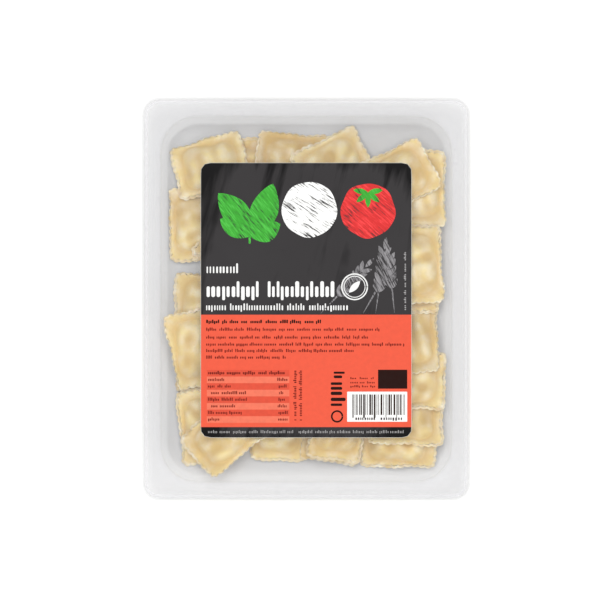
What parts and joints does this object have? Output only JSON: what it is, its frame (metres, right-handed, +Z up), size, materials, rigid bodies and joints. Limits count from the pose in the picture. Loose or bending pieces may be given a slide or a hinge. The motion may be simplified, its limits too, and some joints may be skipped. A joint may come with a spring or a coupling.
{
  "type": "ravioli pack",
  "caption": "Shallow clear tray of loose fresh ravioli, shut with a clear lid film that carries a paper label with round corners.",
  "frame": {"origin": "middle of the pack's outline, on the surface that the tray's base rests on", "axes": "+X across the pack, +Y along it towards the label's top, +Z up from the base to the label"},
  "size_m": [0.154, 0.189, 0.0284],
  "materials": {
    "clear_tray": "clear glossy thermoformed sheet",
    "clear_film": "clear glossy film",
    "label_paper": "satin printed paper",
    "dough": "floured fresh egg dough, soft sheen"
  },
  "bodies": {
    "root": {"tray": "clear_tray", "lid_film": "clear_film", "label": "label_paper", "ravioli_01": "dough", "ravioli_02": "dough", "ravioli_03": "dough", "ravioli_04": "dough", "ravioli_05": "dough", "ravioli_06": "dough", "ravioli_07": "dough", "ravioli_08": "dough", "ravioli_09": "dough", "ravioli_10": "dough", "ravioli_11": "dough", "ravioli_12": "dough", "ravioli_13": "dough", "ravioli_14": "dough", "ravioli_15": "dough", "ravioli_16": "dough", "ravioli_17": "dough", "ravioli_18": "dough", "ravioli_19": "dough", "ravioli_20": "dough", "ravioli_21": "dough", "ravioli_22": "dough", "ravioli_23": "dough", "ravioli_24": "dough", "ravioli_25": "dough", "ravioli_26": "dough", "ravioli_27": "dough", "ravioli_28": "dough", "ravioli_29": "dough", "ravioli_30": "dough", "ravioli_31": "dough", "ravioli_32": "dough", "ravioli_33": "dough"}
  },
  "joints": []
}
